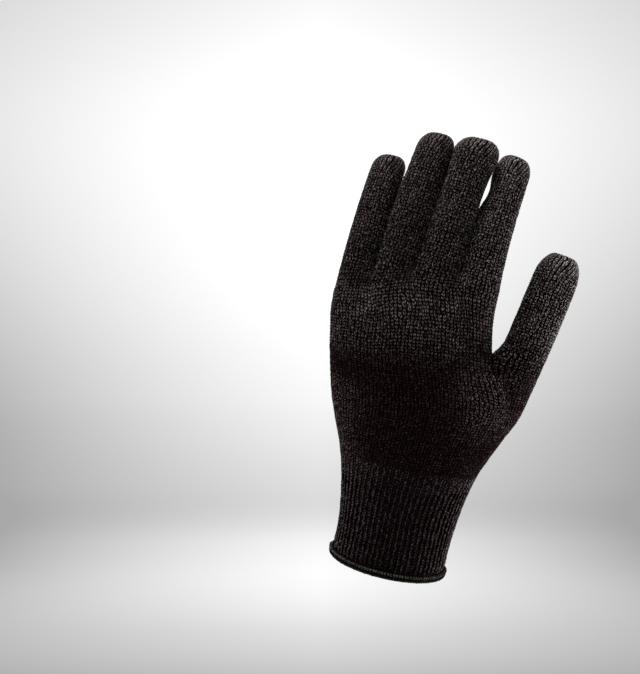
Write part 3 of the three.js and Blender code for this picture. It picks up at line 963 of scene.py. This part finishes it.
def wandering(tree, place, amount):
    """Stitch places that wander a little, as the yarn does from its row and column."""
    inputs = {"Vector": place, "Scale": WANDER_SCALE, "Detail": 1.0}
    cloud = linked(tree, "ShaderNodeTexNoise", inputs).outputs[1]
    offset = vector_calc(tree, "SUBTRACT", {0: cloud, 1: (0.5, 0.5, 0.5)})
    moved = vector_calc(tree, "SCALE", {0: offset, 3: amount})
    return vector_calc(tree, "ADD", {0: place, 1: moved})


def leg_chance(tree, across, along):
    """Each leg of each stitch takes the light in its own way."""
    leg = calc(tree, "FLOOR", calc(tree, "MULTIPLY", across, 2))
    stitch = linked(tree, "ShaderNodeCombineXYZ", {0: leg, 1: calc(tree, "FLOOR", along)}).outputs[0]
    chance = linked(tree, "ShaderNodeTexWhiteNoise", {0: stitch}, noise_dimensions="2D").outputs[0]
    return between(tree, calc(tree, "POWER", chance, CHANCE_POWER), *CHANCE_LIGHT)


def yarn_bump(tree, across, along, fibres):
    """Plies wind round the yarn, and fibres stand off it."""
    turns = (product(tree, across, PLY_TURNS[0]), product(tree, along, PLY_TURNS[1]))
    ply = calc(tree, "PINGPONG", calc(tree, "ADD", *turns), 0.5)
    height = calc(tree, "ADD", ply, product(tree, fibres, FIBRE_HEIGHT))
    return linked(tree, "ShaderNodeBump", {**BUMP, "Height": height}).outputs[0]


def yarn_material(name, row):
    """Spun yarn, with painted shade between the stitches and painted light on their legs, twisted plies,
    loose fibres and uneven dye.
    """
    material, tree, shader = new_material(name)
    place = mapped(tree, "Stitch")
    across, along = split(tree, place)
    fibres = noise(tree, place, FIBRE_WAVES)
    places = {"across": across, "along": along, "fibre": fibres}
    wander = row["wander"]
    gap = row["gap"]
    if row["has_tip"]:
        wander = zone(tree, places, "tip_wander", outside=wander)
        gap = zone(tree, places, "tip_gap", outside=gap)
    drawn_across, drawn_along = split(tree, wandering(tree, place, wander))
    places["wale"] = calc(tree, "FRACT", drawn_across)
    places["course"] = calc(tree, "FRACT", drawn_along)
    # Painted light on each stitch's legs, with painted shade in the groove and the rows between them
    painted_leg_light = product(tree, zones(tree, places, "leg", "groove"), zone(tree, places, "row", outside=gap))
    bright = product(
        tree,
        calc(tree, "POWER", painted_leg_light, STITCH_CONTRAST),
        leg_chance(tree, drawn_across, drawn_along),
        zone(tree, places, "fibre"),
        between(tree, noise(tree, place, DYE_WAVES), *DYE_LIGHT),
    )
    # Painted light and shade laid over the whole part
    if row["field"]:
        places["from_thumb"] = calc(tree, "PINGPONG", across, row["wales"] / 2)
        bright = product(tree, bright, row["field"](tree, places))
    fill(tree, shader, {
        "Base Color": blend(tree, bright, (*row["dark"], 1), (*row["light"], 1)),
        "Normal": yarn_bump(tree, across, along, fibres),
        **YARN_SURFACE,
    })
    return material


# The knitted pieces
rng = np.random.default_rng(SEED)
yarns = {name: yarn_material(name, row) for name, row in YARNS.items()}

for name, digit in digits.items():
    place, wales, courses = digit_place(digit)
    outer, inner = knit(place, wales, courses, rng, UNEVEN_DIGIT, closed_top=True)
    stitches = (wales, courses)
    add_knit(f"{name}_knit", outer, inner, stitches, [name], digit["yarn"], -courses)

for row in rows_of({
    "name": ("hand_lower_knit", "hand_upper_knit", "cuff_rib_knit"),
    "node": ("hand", "hand", "rib_cuff"),
    "slot": ("hand_knit", "hand_knit", "cuff_rib"),
    "yarn": ("hand_yarn", "knuckle_yarn", "cuff_yarn"),
    "place": (lower_place, upper_place, cuff_place),
    "wales": (LOWER_WALES, UPPER_WALES, LOWER_WALES),
    "courses": (LOWER_COURSES, UPPER_COURSES, CUFF_COURSES),
    "unevenness": (UNEVEN_HAND, UNEVEN_HAND, UNEVEN_CUFF),
    "is_rib": (False, False, True),
}):
    stitches = (row["wales"], row["courses"])
    outer, inner = knit(row["place"], *stitches, rng, row["unevenness"], row["is_rib"])
    add_knit(row["name"], outer, inner, stitches, [row["node"]], row["yarn"])


# The hem: a roll of thread turns, and the line of loops along its top. Their middle lies out from the
# cuff's line and up from the hem's edge. Turns are cut into them and slant, by a number of turns, and
# each line has a ring of points.
HEM_LINES = table(("out", "up", "half_out", "half_up", "cut", "slant", "ring", "yarn"), {
    "cuff_hem_roll": (-HEM_INSET, 1.7, 1.8, 2.0, 0.2, 2.0, 24, "hem_yarn"),
    "cuff_hem_chain": (0.75, 2.9, 0.55, 0.5, 0.4, 0.5, 10, "chain_yarn"),
})
HEM_WRAPS = 118
HEM_COLUMNS = 6
HEM_TURNS_ROUND = 4
UNEVEN_TURN = 0.3
TURN_POWER = 0.7
TURN_MIDDLE = 0.8


def hem_line(row, rng):
    """A thread roll round the cuff's lower edge, with slanting turns of uneven thickness."""
    share = np.arange(HEM_WRAPS * HEM_COLUMNS) / (HEM_WRAPS * HEM_COLUMNS)
    line = oval_at(LOWER_SECTIONS, share, np.full_like(share, HEM_HEIGHT / 2))
    out = line * (1, 1, 0) / np.linalg.norm(line[:, :2], axis=1)[:, None]
    angle = math.tau * np.arange(row["ring"])[:, None] / row["ring"]
    thick = 1 + UNEVEN_TURN * rng.standard_normal(HEM_WRAPS)
    along = share[None, :] * HEM_WRAPS + np.sin(angle) * row["slant"] / 2
    turn = np.abs(np.sin(math.pi * along)) ** TURN_POWER * thick[np.floor(along).astype(int) % HEM_WRAPS]
    raised = row["cut"] * (turn - TURN_MIDDLE)
    shift = row["out"] + (row["half_out"] + raised) * np.cos(angle)
    places = line[None] + out[None] * shift[..., None]
    places[..., 2] = row["up"] - (row["half_up"] + raised) * np.sin(angle)
    return places


for name, row in HEM_LINES.items():
    places = hem_line(row, rng)
    closed = np.concatenate([places, places[:1]])
    quads, place = grid_quads(*closed.shape[:2])
    stitch = place * (HEM_WRAPS, HEM_TURNS_ROUND)
    add_piece(name, closed.reshape(-1, 3), quads, place, stitch, ["cuff_hem"], row["yarn"])


# The camera, and a studio that is level with the picture, in which the glove leans. The picture's size
# and the place of the CAD origin in it are in pixels, and a pixel and the distance in millimetres.
ELEVATION = math.radians(12)
LEAN = math.radians(12)
DISTANCE = 900.0
PIXEL = 0.53
ORIGIN_PIXEL = (388, 563)
PICTURE = (640, 674)
SENSOR = 36
CLIP_START = 0.01

forward = Vector((0, math.cos(ELEVATION), -math.sin(ELEVATION)))
level = Vector((1, 0, 0))
upright = level.cross(forward)
right = math.cos(LEAN) * level + math.sin(LEAN) * upright
up = -math.sin(LEAN) * level + math.cos(LEAN) * upright
aside = ORIGIN_PIXEL[0] - PICTURE[0] / 2
above = ORIGIN_PIXEL[1] - PICTURE[1] / 2
target = PIXEL * (-aside * right + above * up) * MM
studio_up = math.cos(ELEVATION) * up - math.sin(ELEVATION) * forward
studio_back = math.cos(ELEVATION) * forward + math.sin(ELEVATION) * up
studio = Matrix.Translation(target) @ Matrix((right, studio_back, studio_up)).transposed().to_4x4()


def camera():
    data = bpy.data.cameras.new("camera")
    data.sensor_width = SENSOR
    data.lens = data.sensor_width * DISTANCE / PIXEL / PICTURE[1]
    data.clip_start = CLIP_START
    camera_object = new_object("camera", data)
    turn = Matrix((right, up, -forward)).transposed().to_4x4()
    camera_object.matrix_world = Matrix.Translation(target - DISTANCE * MM * forward) @ turn
    bpy.context.scene.camera = camera_object


# The sweep, in metres
WALL_BEHIND = 2.2
FLOOR_BELOW = 0.86
COVE = 0.2
COVE_STEPS = 16
SWEEP_FRONT = -8.0
SWEEP_TOP = 2.5
SWEEP_HALF_WIDTH = 6.0


def sweep():
    """A pale floor that curves up into a wall behind the glove, with its width and length as a map."""
    turn = np.linspace(0, math.pi / 2, COVE_STEPS)
    back = np.concatenate([[SWEEP_FRONT], WALL_BEHIND - COVE + COVE * np.sin(turn), [WALL_BEHIND]])
    tall = np.concatenate([[-FLOOR_BELOW], COVE - FLOOR_BELOW - COVE * np.cos(turn), [SWEEP_TOP]])
    length = np.concatenate([[0], np.cumsum(np.hypot(np.diff(back), np.diff(tall)))])
    length -= length[1 + COVE_STEPS // 2]
    sides = (-SWEEP_HALF_WIDTH, SWEEP_HALF_WIDTH)
    vertices = np.array([(x, y, z) for y, z in zip(back, tall) for x in sides])
    places = np.array([(x, along) for along in length for x in sides])
    quads = 2 * np.arange(len(back) - 1)[:, None] + (0, 1, 3, 2)
    mesh = quad_mesh("studio_sweep", vertices, quads)
    add_uv(mesh, "Sweep", places[quads])
    piece = new_object("studio_sweep", mesh)
    piece.matrix_world = studio
    mesh.materials.append(sweep_material())


# The sweep's glow: by its length in metres from the cove, how bright its middle is and what its sides lose
GLOW = {
    "at": (-1.2, -0.62, -0.43, -0.3, -0.17, -0.06, 0.0, 0.05, 0.13, 0.22, 0.41, 0.6, 0.77, 0.95, 1.3),
    "middle": (0, 0.41, 0.59, 0.75, 0.84, 0.79, 0.53, 0.56, 0.66, 0.76, 0.96, 1.03, 1.04, 0.78, 0.7),
    "lost": (0, 0.12, 0.22, 0.35, 0.46, 0.48, 0.29, 0.26, 0.34, 0.4, 0.42, 0.36, 0.33, 0.21, 0.2),
}
GLOW_STRENGTH = 1.2
GLOW_LEAST = 0.26
SIDE_REACH = 0.56
SIDE_POWER = 1.15
PAPER_TONES = (0.26, 0.30)
PAPER_GRAIN = {"Scale": 400.0, "Detail": 2.0}
PAPER_SURFACE = {"Roughness": 0.9, "Specular IOR Level": 0.1, "Emission Color": grey(1)}


def glow(tree, length, column):
    """A column of the glow's table along the sweep, as a share of the glow's strength."""
    first, last = GLOW["at"][0], GLOW["at"][-1]
    share = linked(tree, "ShaderNodeMapRange", {0: length, 1: first, 2: last}).outputs[0]
    ramp = linked(tree, "ShaderNodeValToRGB", {0: share})
    elements = ramp.color_ramp.elements
    ramp.color_ramp.interpolation = "B_SPLINE"
    for index, (at, tone) in enumerate(zip(GLOW["at"], GLOW[column])):
        place = (at - first) / (last - first)
        element = elements[index] if index < 2 else elements.new(place)
        element.position = place
        element.color = grey(tone / GLOW_STRENGTH)
    return ramp.outputs[0]


def sweep_material():
    """A pale matt surface with a soft glow that fades to the sides and towards the cove."""
    material, tree, shader = new_material("studio_paper")
    place = mapped(tree, "Sweep")
    x, length = split(tree, place)
    aside = calc(tree, "DIVIDE", calc(tree, "ABSOLUTE", x), SIDE_REACH)
    lost = product(tree, calc(tree, "POWER", aside, SIDE_POWER), glow(tree, length, "lost"))
    shown = calc(tree, "SUBTRACT", glow(tree, length, "middle"), lost)
    shown = calc(tree, "MAXIMUM", shown, GLOW_LEAST / GLOW_STRENGTH)
    grain = linked(tree, "ShaderNodeTexNoise", {"Vector": place, **PAPER_GRAIN}).outputs[0]
    fill(tree, shader, {
        "Base Color": blend(tree, grain, *map(grey, PAPER_TONES)),
        "Emission Strength": product(tree, shown, GLOW_STRENGTH),
        **PAPER_SURFACE,
    })
    return material


# Soft square lamps in the studio, in metres and watts, and the pale air round them
LAMP_SIZE = 0.5
LAMPS = table(("place", "power"), {
    "top_lamp": ((0.0, 0.12, 1.1), 13),
    "right_lamp": ((1.1, 0.12, 0.0), 5.5),
    "lower_right_lamp": ((0.95, 0.12, -0.55), 6),
    "lower_left_lamp": ((-0.95, 0.12, -0.55), 4.5),
})
AIR_TONE = 0.9
AIR_STRENGTH = 0.3


def lamp(name, place, power):
    """A lamp turned to the glove."""
    light = bpy.data.lights.new(name, "AREA")
    light.shape = "SQUARE"
    light.size = LAMP_SIZE
    light.energy = power
    lamp_object = new_object(name, light)
    spot = studio @ Vector(place)
    lamp_object.location = spot
    lamp_object.rotation_euler = (target - spot).to_track_quat("-Z", "Y").to_euler()


def air():
    world = bpy.data.worlds.new("studio_air")
    bpy.context.scene.world = world
    world.use_nodes = True
    background = world.node_tree.nodes["Background"]
    background.inputs["Color"].default_value = grey(AIR_TONE)
    background.inputs["Strength"].default_value = AIR_STRENGTH


sweep()
for name, row in LAMPS.items():
    lamp(name, **row)
air()
camera()
bpy.context.scene.view_settings.view_transform = "Standard"
